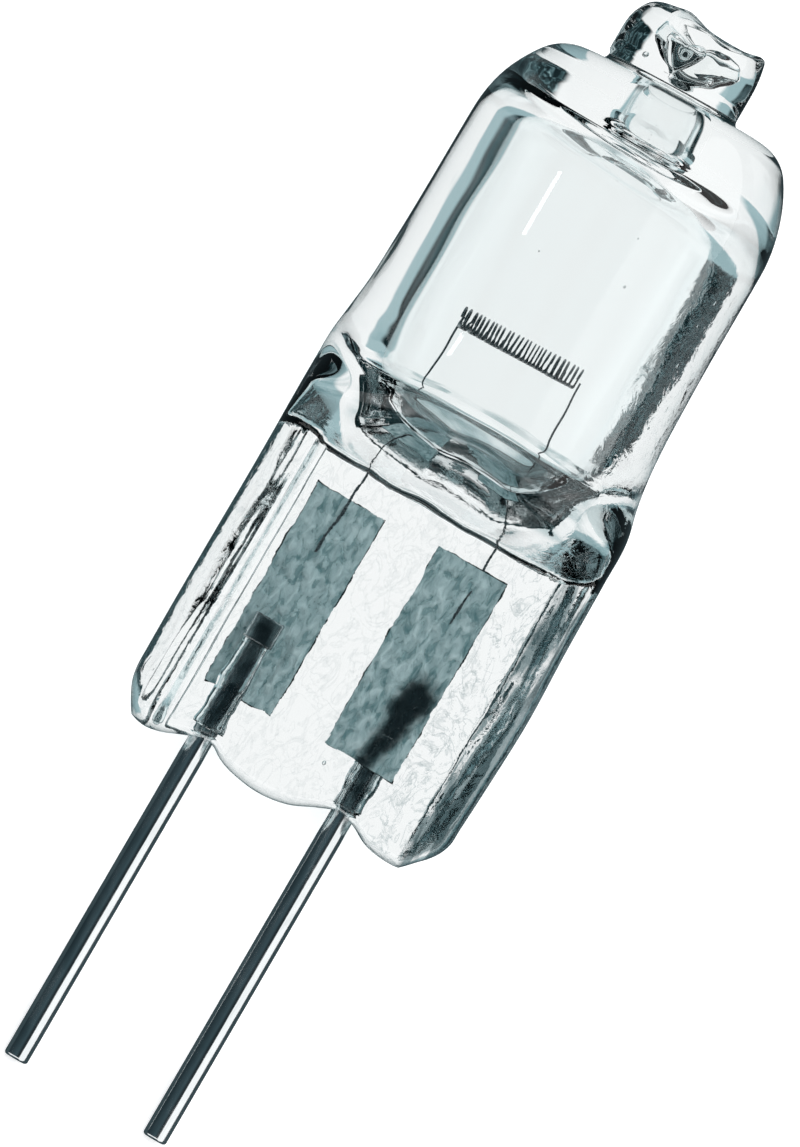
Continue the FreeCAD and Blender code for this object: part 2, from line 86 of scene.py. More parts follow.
def to_frame(points):
    """An array of points in the lamp's millimetres, as the frame's metres."""
    matrix = np.array(LAMP)
    return np.asarray(points, float) @ matrix[:3, :3].T + matrix[:3, 3]


def side_name(side):
    return "left" if side == LEFT else "right"


def pin_u(side):
    return PIN_MIDDLE_U + side * PIN_SPACING / 2


# The camera looks square onto the flat of the pinch, turned so that the lamp leans to the right
IMAGE_SIZE = (800, 1147)
PIXELS_PER_MM = 40.1
VIEW_TURN = math.radians(30.2)
VIEW_MIDDLE = Vector((0.112, 0, 6.49))
CAMERA_DISTANCE = 0.4
SENSOR = 36


def make_camera():
    data = bpy.data.cameras.new("camera")
    camera = bpy.data.objects.new("camera", data)
    bpy.context.scene.collection.objects.link(camera)
    right = ACROSS * math.cos(VIEW_TURN) + AXIS * math.sin(VIEW_TURN)
    up = AXIS * math.cos(VIEW_TURN) - ACROSS * math.sin(VIEW_TURN)
    turn = Matrix((right, up, -BACK)).transposed().to_4x4()
    camera.matrix_world = Matrix.Translation(LAMP @ VIEW_MIDDLE - BACK * CAMERA_DISTANCE) @ turn
    data.sensor_width = SENSOR
    data.lens = SENSOR * CAMERA_DISTANCE / (max(IMAGE_SIZE) / PIXELS_PER_MM * MM)
    data.clip_start = 0.01
    data.clip_end = 20
    bpy.context.scene.camera = camera


# Points and smooth shapes
def points_of(u, v, w):
    """An array of points from their three coordinates, each an array or one number for all."""
    return np.stack(np.broadcast_arrays(u, v, w), axis=-1)


def around_circle(count):
    """Cosine and sine of evenly spread directions round a circle."""
    turn = np.linspace(0, FULL_TURN, count, endpoint=False)
    return np.cos(turn), np.sin(turn)


def smoothstep(low, high, value):
    share = np.clip((value - low) / (high - low), 0, 1)
    return share * share * (3 - 2 * share)


def between(low, high, soft, value):
    """Rises to 1 between two values and is 0 beyond them."""
    return smoothstep(low - soft, low + soft, value) * (1 - smoothstep(high - soft, high + soft, value))


def smooth_max(one, other, width):
    """The larger of two values, rounded where they are within a width of each other."""
    blend = np.clip(0.5 + 0.5 * (one - other) / width, 0, 1)
    return other + (one - other) * blend + width * blend * (1 - blend)


def curve_through(rows, column, values):
    """Smoothly joined values of one column of a table, by its first column."""
    xs = np.array([row[0] for row in rows])
    ys = np.array([row[column] for row in rows])
    slopes = np.gradient(ys, xs)
    values = np.clip(values, xs[0], xs[-1])
    index = np.clip(np.searchsorted(xs, values) - 1, 0, len(xs) - 2)
    gap = xs[index + 1] - xs[index]
    t = (values - xs[index]) / gap
    rise = ys[index] * (2 * t**3 - 3 * t**2 + 1) + ys[index + 1] * (3 * t**2 - 2 * t**3)
    return rise + gap * (slopes[index] * (t**3 - 2 * t**2 + t) + slopes[index + 1] * (t**3 - t**2))


def wobble(points, scale, seed):
    """Smooth noise from -1 to 1 at each point of an array of any shape."""
    flat = np.asarray(points, float).reshape(-1, 3) * np.asarray(scale, float) + seed
    values = [noise.noise(Vector(p)) for p in flat]
    return np.array(values).reshape(np.shape(points)[:-1])


def unevenness(points, layers):
    """Smooth noise of a few kinds added up, each given as its scale, height and seed."""
    return sum(height * wobble(points, scale, seed) for scale, height, seed in layers)


# Meshes from rings of points
def tube_faces(rings, around):
    """Quads between rings of points, each closed round."""
    faces = []
    for low in range(0, (rings - 1) * around, around):
        for step in range(around):
            after = (step + 1) % around
            faces.append((low + step, low + after, low + around + after, low + around + step))
    return faces


class Shell:
    """Closed skins of one piece, each a stack of rings closed at both ends."""

    def __init__(self):
        self.points = []
        self.faces = []
        self.count = 0

    def add(self, rings, start=None, end=None, flip=False):
        """Adds a skin. An end without a point of its own is closed straight across from front to back."""
        rings = np.asarray(rings, float)
        many, around = rings.shape[:2]
        faces = tube_faces(many, around)
        points = [rings.reshape(-1, 3)]
        total = many * around
        for pole, ring, first in ((start, 0, True), (end, many - 1, False)):
            base = ring * around
            if pole is None:
                for step in range(around // 2):
                    low, high = (around - step) % around, around - step - 1
                    face = (base + step, base + low, base + high, base + step + 1)
                    face = tuple(dict.fromkeys(face))
                    faces.append(face if first else face[::-1])
                continue
            points.append(np.array([pole], float))
            for step in range(around):
                after = (step + 1) % around
                face = (base + after, base + step, total) if first else (base + step, base + after, total)
                faces.append(face)
            total += 1
        self.points += points
        for face in faces:
            face = tuple(self.count + index for index in face)
            self.faces.append(face[::-1] if flip else face)
        self.count += total

    def build(self, name):
        return new_mesh(name, np.concatenate(self.points), self.faces)


def new_mesh(name, points, faces):
    """A smooth mesh object from points in the lamp's millimetres."""
    mesh = bpy.data.meshes.new(name)
    mesh.from_pydata([tuple(p) for p in to_frame(points)], [], faces)
    mesh.polygons.foreach_set("use_smooth", [True] * len(mesh.polygons))
    mesh.validate()
    mesh.update()
    piece = bpy.data.objects.new(name, mesh)
    bpy.context.scene.collection.objects.link(piece)
    return piece


def place(piece, slot, material, *nodes):
    """Rides the piece on the body, gives it its material and hides the nodes that it stands for. Its slot is
    not used.
    """
    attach(piece, "root")
    if nodes:
        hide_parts(*nodes)
    piece.data.materials.clear()
    piece.data.materials.append(material)


# Glass: height, left edge and right edge of the lamp's outline, from the pinch up to the bulb
SIDES = (
    (1.6, -4.41, 4.62),
    (2.9, -4.42, 4.68),
    (4.8, -4.42, 4.742),
    (6.9, -4.41, 4.68),
    (8.8, -4.42, 4.645),
    (10.1, -4.424, 4.60),
    (10.8, -4.424, 4.43),
    (11.6, -4.34, 4.30),
    (12.4, -4.25, 4.23),
    (13.8, -4.20, 4.18),
    (17.4, -4.158, 4.158),
)
# Height, width and roundness of what the lower corners lack
CORNER_LEFT = (1.6, 0.5, 3.0)
CORNER_RIGHT = (1.4, 0.87, 2.0)
# Where the bottom edge of the pinch is, from left to right, and how far up the glass follows it
BOTTOM = (
    (-4.2, 0.22), (-3.95, 0.1), (-3.55, 0.0), (-3.1, 0.06), (-2.66, 0.24), (-2.35, 0.36),
    (-1.75, 0.42), (-1.5, 0.26), (-0.7, 0.02), (-0.1, -0.02), (0.6, 0.1), (1.3, 0.42),
    (1.75, 0.58), (2.25, 0.46), (2.7, 0.22), (3.3, 0.1), (3.8, 0.12), (4.1, 0.2),
)
BOTTOM_BLEND = 2.4
FOOT = 0.28
FLANGE_HALF = 1.7
WEB_HALF = 1.2
WEB_MIDDLE = 0.16
LEFT_FLANGE = (3.2, 3.62)
RIGHT_FLANGE = (3.5, 4.4)
FLANGE_FADE = (8.75, 9.75)
FLAT_FADE = (10.0, 11.4)
# The pinch's edges are rounded, the left one more so than the right
ROUND_LEFT = 10
ROUND_RIGHT = 40
# The neck's sections pass from round to flat-faced as they go down
SQUARE_NECK = 0.6
SQUARE_RANGE = (11.2, 9.4)
NECK_WAVES = (((1.3, 1, 1), 0.08, 2.5),)
# Unevenness of the pressed faces, each kind with its scale, height and seed
FACE_WAVES = (((0.8, 1, 0.6), 0.02, 2.5), ((3.2, 1, 2.4), 0.006, 8.5))
LEFT_FOLDS = (((4.6, 1, 0.32), 0.07, 5.5), ((9.0, 1, 1.1), 0.02, 1.5))
LEFT_LINES = (((8.5, 1, 0.7), 0.03, 9.5),)
RIGHT_LINES = (((9.0, 1, 0.9), 0.02, 3.5),)
RIGHT_FOLD_STRAY = (((1.2, 1, 0.45), 0.7, 6.5), ((3.0, 1, 1.8), 0.25, 4.5))
RIGHT_FOLD_PITCH = 0.42
RIGHT_FOLD_DEPTH = 0.02
# Where across the pinch each kind lies, and how soft its ends are
LEFT_FOLDS_AT = (-4.15, -3.5, 0.06)
LEFT_LINES_AT = (-3.4, -3.0, 0.05)
RIGHT_LINES_AT = (3.2, 3.5, 0.05)
RIGHT_FOLDS_AT = (3.68, 4.55, 0.04)
PRESSED_FADE = (8.6, 9.4)
AROUND = 288
PINCH_RING = 0.085
BULB_RING = 0.24
NECK_TOP = 12.0


def side_edges(level):
    """Left and right edge of the outline at a level, with the rounded lower corners."""
    cuts = [
        inset * np.clip(1 - level / height, 0, 1) ** power
        for height, inset, power in (CORNER_LEFT, CORNER_RIGHT)
    ]
    return curve_through(SIDES, 1, level) + cuts[0], curve_through(SIDES, 2, level) - cuts[1]


def pinch_half(u, w):
    """Half the thickness of the pinch: a web between two thick flanges, the right one a wedge."""
    out = u - WEB_MIDDLE
    wedge = np.clip((out - RIGHT_FLANGE[0]) / (RIGHT_FLANGE[1] - RIGHT_FLANGE[0]), 0, 1)
    flange = smoothstep(*LEFT_FLANGE, -out) + wedge
    return WEB_HALF + (FLANGE_HALF - WEB_HALF) * flange * (1 - smoothstep(*FLANGE_FADE, w))


def pressed_waves(u, v, w):
    """How far the pressed faces of the pinch stray from flat: faint waves, and long folds on the flanges."""
    points = points_of(u, np.sign(v) * 7.0, w)
    phase = u / RIGHT_FOLD_PITCH + unevenness(points_of(u, 0, w), RIGHT_FOLD_STRAY)
    zigzag = np.abs(4 * (phase - np.floor(phase)) - 2) - 1
    waves = unevenness(points, FACE_WAVES)
    waves = waves + unevenness(points, LEFT_FOLDS) * between(*LEFT_FOLDS_AT, u)
    waves = waves + unevenness(points, LEFT_LINES) * between(*LEFT_LINES_AT, u)
    waves = waves + unevenness(points, RIGHT_LINES) * between(*RIGHT_LINES_AT, u)
    waves = waves + RIGHT_FOLD_DEPTH * zigzag * between(*RIGHT_FOLDS_AT, u)
    return waves * (1 - smoothstep(*PRESSED_FADE, w))


def outer_rings():
    """Rings of the pinch, the neck and the straight bulb."""
    x, way = around_circle(AROUND)
    face = np.sign(np.round(way, 9))
    edge = np.where(x > 0, np.abs(x) ** ROUND_RIGHT, np.abs(x) ** ROUND_LEFT)
    edge = np.sqrt(np.clip(1 - edge, 0, 1))
    levels = np.concatenate([
        np.linspace(0.01, FOOT, 6)[:-1],
        np.arange(FOOT, NECK_TOP, PINCH_RING),
        np.arange(NECK_TOP, SHOULDER_START, BULB_RING),
    ])
    rings = []
    for level in levels:
        left, right = side_edges(level)
        u = (left + right) / 2 + (right - left) / 2 * x
        w = level + curve_through(BOTTOM, 1, u) * np.clip(1 - level / BOTTOM_BLEND, 0, 1) ** 1.5
        neck = NECK_HEIGHT + unevenness(points_of(u, face, 0), NECK_WAVES)
        drop = np.clip((neck - w) / NECK_DROP, 0, 1)
        squarer = SQUARE_NECK * smoothstep(*SQUARE_RANGE, w)
        bulb = BULB_RADIUS * np.sqrt(1 - drop**2) * np.abs(way) ** (1 - squarer)
        foot = min(level / FOOT, 1)
        flat = (pinch_half(u, w) + pressed_waves(u, way, w)) * edge
        flat = flat * (1 - smoothstep(*FLAT_FADE, w)) * math.sqrt(1 - (1 - foot) ** 2)
        rings.append(points_of(u, face * smooth_max(bulb, flat, 0.2), w))
    return np.array(rings)


# Glass: the dome and the melted-off exhaust tip
TIP_SPLAY = 0.2
DOME_TILT = 0.03
DOME_TILT_RANGE = (18.2, 20.0)
TIP_TILT = 0.012
TIP_UNROUND = 0.03
TIP_EDGE = 0.57
TIP_EDGE_LESS = 0.25
TIP_WALL_START = DOME_TOP + TIP_SPLAY + 0.08
TIP_WALL_TOP = TIP_TOP - 0.95
# The melted end's bump and dip, as height, place and squared widths
TIP_BUMP = (0.13, -0.65, 0, 0.16, 0.9)
TIP_DIP = (-0.16, 0.35, -0.55, 0.2, 0.35)
# Dents in the tip's skin, and where they fade in up the tip
DENTS = (((1.1, 1.1, 0.9), 0.09, 21.0), (3.0, 0.03, 5.0))
DENT_RISE = (DOME_TOP + 0.2, DOME_TOP + 0.6)


def arc(u, w, radius, angles):
    """Points of a half profile on an arc, as radius and height."""
    return [(u + radius * math.cos(a), w + radius * math.sin(a)) for a in angles]


def dome_rings():
    """Rings of the shoulder, the flat crown and the tip."""
    x, way = around_circle(AROUND)
    gap = SHOULDER_RADIUS - CROWN_RADIUS
    rise = DOME_TOP - CROWN_RADIUS - SHOULDER_START
    run = math.sqrt(gap * gap - rise * rise)
    shoulder_u = BULB_RADIUS - SHOULDER_RADIUS
    meeting = math.atan2(rise, run)
    root_turns = np.linspace(-QUARTER_TURN, -math.pi, 7)
    crown_turns = np.linspace(meeting, QUARTER_TURN, 14)[1:]
    profile = arc(shoulder_u, SHOULDER_START, SHOULDER_RADIUS, np.linspace(0, meeting, 12))
    profile += arc(shoulder_u + run, DOME_TOP - CROWN_RADIUS, CROWN_RADIUS, crown_turns)
    profile += arc(TIP_RADIUS + TIP_SPLAY, DOME_TOP + TIP_SPLAY, TIP_SPLAY, root_turns)
    rings = []
    for radius, w in profile:
        u = radius * x + PIN_MIDDLE_U * smoothstep(2.6, TIP_RADIUS, radius)
        rings.append(points_of(u, radius * way, w + DOME_TILT * u * smoothstep(*DOME_TILT_RANGE, w)))
    return rings + tip_rings(x, way)


def mound(u, v, height, at_u, at_v, wide_u, wide_v):
    return height * np.exp(-((u - at_u) ** 2) / wide_u - (v - at_v) ** 2 / wide_v)


def tip_top(u, v):
    """Height of the uneven melted end of the tip: a low bump to the left and a rim to the right."""
    rim = 0.1 * smoothstep(1.0, 1.5, u) * np.exp(-v**2 / 0.8)
    level = TIP_TOP - 0.05 * v**2 - 0.03 * (u - PIN_MIDDLE_U)
    return level + rim + mound(u, v, *TIP_BUMP) + mound(u, v, *TIP_DIP)


def tip_rings(x, way):
    """Rings up the tip's wall, over its rounded edge and in across its top."""
    edge = TIP_EDGE - TIP_EDGE_LESS * x
    radius = TIP_RADIUS + TIP_UNROUND - TIP_UNROUND * x
    rings = []
    for w in np.linspace(TIP_WALL_START, TIP_WALL_TOP, 9):
        u = PIN_MIDDLE_U + x * radius
        rings.append(points_of(u, way * radius, w + TIP_TILT * u))
    for a in np.linspace(0, QUARTER_TURN, 12)[1:]:
        out = radius - edge * (1 - math.cos(a))
        u, v = PIN_MIDDLE_U + x * out, way * out
        low = TIP_WALL_TOP + TIP_TILT * u
        lift = (tip_top(u, v) - low - edge) * min(1, a / 0.9)
        rings.append(points_of(u, v, low + lift + edge * math.sin(a)))
    for share in np.linspace(1, 0, 9)[1:-1]:
        out = (radius - edge) * share
        u, v = PIN_MIDDLE_U + x * out, way * out
        rings.append(points_of(u, v, tip_top(u, v)))
    return [dent(ring) for ring in rings]


def dent(ring):
    """The tip's melted skin, pressed in here and there but nowhere wider than its tube."""
    depth = sum(height * (0.5 + 0.5 * wobble(ring, scale, seed)) for scale, height, seed in DENTS)
    depth = depth * smoothstep(*DENT_RISE, ring[:, 2]) * smoothstep(0.2, 0.8, np.abs(ring[:, 1]))
    ring = ring.copy()
    ring[:, 1] -= np.sign(ring[:, 1]) * depth
    return ring


# Glass: the sealed hollow, a bowl below, a straight wall and a rounded ceiling with the tube's bore in it
BOWL_TOP = 10.75
BOWL_BOTTOM = 9.6
BOWL_BREADTH = 5.0
BOWL_ROUND = 2.1
BOWL_ARCH = 0.55
BOWL_SHARES = (*np.linspace(0.002, 0.1, 8), *np.linspace(0.13, 1, 26))
# Height, waves to the millimetre and start of the waves along the lowest line
FLOOR_WAVES = (0.03, 3.1, 0.7)
CEILING = 18.4
CEILING_TILT = 0.02
WALL_TOP = CEILING - 1.45
CORNER_ROUND = 1.15
CORNER_ROUNDER = 0.3
BORE_RADIUS = 0.86
BORE_MIDDLE = 0.06
BORE_MOUTH = 0.3
BORE_TOP = 20.15
BORE_WALL = (CEILING + 0.4, BORE_TOP - 0.35)
BORE_TURNS = np.linspace(0.2, QUARTER_TURN, 7)
BORE_LAST_RING = (BORE_RADIUS - 0.5, BORE_TOP + 0.01)
# The fold where the wall turns into the bowl
FOLD_FRONT = 10.42
FOLD_BACK = 10.36
FOLD_ARCH = 0.4
FOLD_ARCH_BACK = 0.08
FOLD_INTO = 0.07
FOLD_WIDTH = 0.08
# The blown wall's waves, and where they fade in and out
RIPPLES = (((0.55, 0.55, 0.16), 0.05, 7.3), ((1.6, 1.6, 0.7), 0.012, 3.1))
RIPPLE_START = (10.9, 12.5)
RIPPLE_END = (17.8, 18.3)


def cavity_floor(u):
    """The lowest line of the hollow, nearly level and rounded up at its ends."""
    height, often, start = FLOOR_WAVES
    share = np.clip(np.abs(u) / INNER_RADIUS, 0, 1)
    bowl = 1 - np.sqrt(1 - share**BOWL_BREADTH)
    return BOWL_BOTTOM + (BOWL_TOP - BOWL_BOTTOM) * bowl + height * np.sin(u * often + start)


def bowl_depth(share):
    """Half the hollow's depth from its lowest line to the straight wall, as a share of its radius."""
    return (1 - (1 - share) ** BOWL_ROUND) ** (1 / BOWL_ROUND)


def bore_profile():
    """Radius and height up the bore, from its rounded mouth to its closed end."""
    mouth = BORE_RADIUS + BORE_MOUTH
    profile = [
        (mouth - BORE_MOUTH * math.sin(a), CEILING + BORE_MOUTH * (1 - math.cos(a)))
        for a in BORE_TURNS
    ]
    profile += [(BORE_RADIUS, w) for w in np.linspace(*BORE_WALL, 6)]
    profile += [
        (BORE_RADIUS - 0.3 * (1 - math.cos(a)), BORE_TOP - 0.3 * (1 - math.sin(a)))
        for a in BORE_TURNS
    ]
    return profile + [BORE_LAST_RING]


def cavity_rings():
    """The bulb's sealed hollow, from its lowest line up to the end of the bore."""
    x, way = around_circle(160)
    rings = []
    for share in BOWL_SHARES:
        u = INNER_RADIUS * (1 - 0.03 * (1 - share) ** 2) * x
        floor = cavity_floor(u)
        w = floor + share * (BOWL_TOP + BOWL_ARCH * (1 - (u / INNER_RADIUS) ** 2) - floor)
        rings.append(points_of(u, INNER_RADIUS * bowl_depth(share) * way, w))
    start = BOWL_TOP + BOWL_ARCH * (1 - x**2)
    for share in np.linspace(0, 1, 34)[1:-1]:
        rings.append(points_of(INNER_RADIUS * x, INNER_RADIUS * way, start + (WALL_TOP - start) * share))
    corner = CORNER_ROUND + CORNER_ROUNDER * x
    for a in np.linspace(0, QUARTER_TURN, 14):
        radius = INNER_RADIUS - corner * (1 - math.cos(a))
        rings.append(points_of(radius * x, radius * way, CEILING - corner * (1 - math.sin(a))))
    inner = INNER_RADIUS - corner
    for share in np.linspace(0, 1, 7)[1:]:
        radius = inner + (BORE_RADIUS + BORE_MOUTH - inner) * share
        u = radius * x + BORE_MIDDLE * share
        rings.append(points_of(u, radius * way, CEILING + CEILING_TILT * u))
    for radius, w in bore_profile():
        rings.append(points_of(radius * x + BORE_MIDDLE, radius * way, w))
    return groove(ripple(np.array(rings)))


def groove(rings):
    """The fold where the wall turns into the bowl, arched up in front and nearly level at the back."""
    u, v, w = rings[..., 0], rings[..., 1], rings[..., 2]
    arch = 1 - (u / INNER_RADIUS) ** 2
    middle = np.where(v < 0, FOLD_FRONT + FOLD_ARCH * arch, FOLD_BACK + FOLD_ARCH_BACK * arch)
    depth = FOLD_INTO * np.exp(-(((w - middle) / FOLD_WIDTH) ** 2))
    rings = rings.copy()
    rings[..., 1] += np.sign(v) * depth * smoothstep(0.3, 1.2, np.abs(v))
    return rings


def ripple(rings):
    """The uneven inside of a blown wall: long faint waves along the axis and a little round it."""
    radial = rings.copy()
    radial[..., 2] = 0
    size = np.linalg.norm(radial, axis=-1, keepdims=True)
    height = rings[..., 2]
    wave = unevenness(rings, RIPPLES)
    wave = wave * smoothstep(*RIPPLE_START, height) * (1 - smoothstep(*RIPPLE_END, height))
    return rings + radial / np.maximum(size, 0.2) * wave[..., None]


# Glass: the closed end of the tube's bore in the tip, heart-shaped from the front, as each void's middle,
# lowest point, shoulder, half width, half depth, distance to the front and unevenness
VOIDS = (
    (-0.02, 20.3, 21.3, 0.9, 0.36, 0.0, 0.04),
    (-0.3, 20.5, 21.35, 0.5, 0.16, -1.0, 0.05),
)
VOID_AROUND = 64
VOID_SHARES = np.linspace(0.06, 1, 20)
VOID_CAP_SHARES = np.linspace(1, 0, 11)[1:-1]
# Bubbles in the glass, as place and radius
BUBBLES = (
    (3.38, -1.95, 16.2, 0.05), (3.3, -2.1, 15.5, 0.035), (3.36, -2.0, 14.4, 0.055),
    (3.42, -1.9, 13.4, 0.05), (3.5, -1.8, 12.7, 0.035), (-0.9, -3.7, 15.1, 0.02),
    (1.3, -3.5, 15.4, 0.03), (1.0, -3.6, 16.6, 0.02), (-1.6, -3.4, 12.6, 0.02),
    (0.85, -0.9, 1.47, 0.05), (-0.1, 3.4, 19.0, 0.04), (0.55, -1.2, 20.9, 0.09),
    (-1.0, -0.9, 20.7, 0.08),
)
# The thin gap round each pin below its seal
SLEEVE_TOP = {LEFT: 3.2, RIGHT: 2.8}
SLEEVE_RADIUS = 0.4


def add_void(shell, middle, bottom, rim, half, depth, front, uneven):
    """A hollow that is pointed below and lobed above."""
    x, way = around_circle(VOID_AROUND)
    bumps = uneven * np.sin(3 * np.linspace(0, FULL_TURN, VOID_AROUND, endpoint=False))
    rings = []
    for share in VOID_SHARES:
        wide = share**0.95
        w = bottom + (rim - bottom) * share + bumps * share
        rings.append(points_of(middle + half * wide * x, front + depth * wide * way, w))
    for share in VOID_CAP_SHARES:
        lobes = 0.15 + 1.9 * np.abs(x) * share
        w = rim + 0.25 * half * math.sqrt(1 - share**2) * lobes + bumps * share
        rings.append(points_of(middle + half * share * x, front + depth * share * way, w))
    shell.add(rings, (middle, front, bottom), (middle, front, rim + 0.05 * half), flip=True)


def add_bubble(shell, u, v, w, radius):
    x, way = around_circle(12)
    long = radius * 1.3
    rings = []
    for a in np.linspace(-QUARTER_TURN, QUARTER_TURN, 9)[1:-1]:
        flat = radius * math.cos(a)
        rings.append(points_of(u + flat * x, v + flat * way, w + long * math.sin(a)))
    shell.add(rings, (u, v, w - long), (u, v, w + long), flip=True)


def add_sleeve(shell, side):
    """The thin gap round a pin below its seal, of uneven width."""
    x, way = around_circle(48)
    middle, top = pin_u(side), SLEEVE_TOP[side]
    rings = []
    for w in np.linspace(0.75, top, 26):
        radius = SLEEVE_RADIUS + 0.03 * math.sin(w * 4.1 + side) + 0.015 * math.sin(w * 9.7)
        rings.append(points_of(radius * x + middle, radius * way, w))
    for share in (0.85, 0.5):
        w = top + 0.3 * (1 - share)
        rings.append(points_of(radius * share * x + middle, radius * share * way, w))
    shell.add(rings, (middle, 0, 0.72), (middle, 0, top + 0.35), flip=True)


def make_glass():
    shell = Shell()
    outer = np.concatenate([outer_rings(), np.array(dome_rings())])
    shell.add(outer, None, (PIN_MIDDLE_U, 0, float(tip_top(PIN_MIDDLE_U, 0.0))))
    shell.add(cavity_rings(), None, (BORE_MIDDLE, 0, BORE_TOP + 0.02), flip=True)
    for void in VOIDS:
        add_void(shell, *void)
    for bubble in BUBBLES:
        add_bubble(shell, *bubble)
    for side in (LEFT, RIGHT):
        add_sleeve(shell, side)
    return shell.build("glass_body")


# Filament
WIRE_RADIUS = 0.03
COIL_RADIUS = 0.285
COIL_HEIGHT = 12.83
COIL_LENGTH = 3.42
COIL_TURNS = 27.5
COIL_STEPS = 30
COIL_STEP_RANGE = (0.58, 0.92)
COIL_FOOT_DEPTH = -0.7
COIL_FOOT_RANGE = (COIL_HEIGHT - 0.1, COIL_HEIGHT - 0.2)
COIL_RISE = 0.1
# How far turns stray along the coil and lean, with how fast that changes from turn to turn and a seed
COIL_STRAY = (0.04, 0.9, 0.5)
COIL_LEAN = (0.1, 1.3, 4.5)
LEG_HEIGHTS = (12.3, 10.4, 8.9, 7.4)
LEG_SPREADS = {LEFT: (0.01, 0.115, 0.04, 0.07, 0.19), RIGHT: (0.03, 0.16, 0.23, 0.26, 0.2)}
WELD_HEIGHT = 5.9


def sweep(path, radii):
    """Rings of a round wire along a path of points, with its radius at each."""
    x, way = around_circle(8)
    path = np.asarray(path, float)
    along = np.gradient(path, axis=0)
    along /= np.linalg.norm(along, axis=1, keepdims=True)
    side = np.cross(along[0], (0.3, 0.9, 0.31))
    rings = []
    for point, heading, radius in zip(path, along, np.broadcast_to(radii, len(path))):
        side = side - heading * np.dot(side, heading)
        side /= np.linalg.norm(side)
        rings.append(point + radius * (np.outer(x, side) + np.outer(way, np.cross(heading, side))))
    return np.array(rings)


def by_turn(turns, amount, pace, seed):
    """A value for each turn of the coil that wanders smoothly from turn to turn."""
    return amount * np.array([noise.noise(Vector((t * pace, seed, 0.5))) for t in turns])


def coil_path():
    """The coil from left to right. Each turn stands upright and steps on to the next one along its foot."""
    turns = np.linspace(0, COIL_TURNS, int(COIL_TURNS * COIL_STEPS))
    whole = np.floor(turns)
    part = turns - whole
    share = (whole + smoothstep(*COIL_STEP_RANGE, part)) / math.ceil(COIL_TURNS)
    angle = part * FULL_TURN
    height = COIL_RADIUS * np.maximum(np.sin(angle), COIL_FOOT_DEPTH + 0.12 * np.sin(angle))
    u = PIN_MIDDLE_U + COIL_LENGTH * (share - 0.5) + by_turn(whole, *COIL_STRAY)
    u = u + by_turn(whole, *COIL_LEAN) * height
    # A turn starts at the front, goes over the top to the back and passes its foot last
    return points_of(u, -COIL_RADIUS * np.cos(angle), COIL_HEIGHT + COIL_RISE * (share - 0.5) + height)


def leg_path(side):
    """One end of the wire, from the coil down through the glass to its weld on the foil."""
    bends = sorted(zip((COIL_HEIGHT, *LEG_HEIGHTS, WELD_HEIGHT), (0, *LEG_SPREADS[side])))
    heights = np.linspace(COIL_HEIGHT, WELD_HEIGHT, 90)
    out = curve_through(bends, 1, heights) + 0.012 * np.sin(heights * 5.3 + side)
    return points_of(PIN_MIDDLE_U + side * COIL_LENGTH / 2 + side * out, -side * COIL_RADIUS, heights)


def make_filament():
    shell = Shell()
    coil = coil_path()
    foot = smoothstep(*COIL_FOOT_RANGE, coil[:, 2])
    shell.add(sweep(coil, WIRE_RADIUS * (0.85 + 0.75 * foot)), coil[0], coil[-1])
    for side in (LEFT, RIGHT):
        leg = leg_path(side)
        thick = WIRE_RADIUS + 0.016 * smoothstep(8.5, 6.5, leg[:, 2])
        shell.add(sweep(leg, thick), leg[0], leg[-1])
    return shell.build("filament_wire")


# Foils: left edge, right edge, bottom and top of each
FOILS = {LEFT: (-2.79, -0.86, 1.76, 7.46), RIGHT: (0.61, 2.58, 1.88, 7.6)}
FOIL_ROWS = 150
FOIL_COLUMNS = 50
FOIL_PLANE = 0.315
FOIL_HALF = 0.013
RAGGED = 0.05
RAGGED_LOW = 0.1
RAGGED_HIGH = 0.03
RAGGED_LEFT = ((2.1, 1, 0.5), (6.3, 0.6, 3.5))
RAGGED_RIGHT = ((1.9, 1, 6.5), (5.7, 0.6, 8.5))
# The lower and upper end's unevenness as scale, height and seed, and how much each end slants
LOW_END = (((2.3, 1, 1.5),), -0.8)
HIGH_END = (((2.9, 1, 4.5),), 1.2)
# Each foil's side is added to its seeds
CRINKLES = (((2.4, 1, 1.5), 0.05, 11.0), ((6.0, 1, 3.5), 0.035, 4.0))


def sheet_faces(rows, columns):
    """Quads of a sheet's front and back, and of the rim between them."""
    count = rows * columns
    faces = []
    for row in range(rows - 1):
        for column in range(columns - 1):
            a = row * columns + column
            faces.append((a, a + 1, a + columns + 1, a + columns))
            faces.append((count + a, count + a + columns, count + a + columns + 1, count + a + 1))
    rim = list(range(columns))
    rim += [r * columns + columns - 1 for r in range(1, rows)]
    rim += [(rows - 1) * columns + c for c in range(columns - 2, -1, -1)]
    rim += [r * columns for r in range(rows - 2, 0, -1)]
    for here, after in zip(rim, rim[1:] + rim[:1]):
        faces.append((here, count + here, count + after, after))
    return faces


def foil_outline(side, share_across, share_up):
    """Left and right edge at each row of a foil, and lower and upper end at each column, all ragged."""
    left, right, bottom, top = FOILS[side]
    edge = points_of(9.0 * side, 0, share_up * (top - bottom))
    end = points_of(share_across * (right - left), 7.0 * side, 0)
    (low_layers, low_slant), (high_layers, high_slant) = LOW_END, HIGH_END
    slant = side * (share_across - 0.5)
    low = bottom + RAGGED_LOW * (unevenness(end, low_layers) + low_slant * slant)
    high = top + RAGGED_HIGH * (unevenness(end, high_layers) + high_slant * slant)
    left = left + RAGGED * unevenness(edge, RAGGED_LEFT)
    right = right + RAGGED * unevenness(edge, RAGGED_RIGHT)
    return left[:, None], right[:, None], low[None, :], high[None, :]


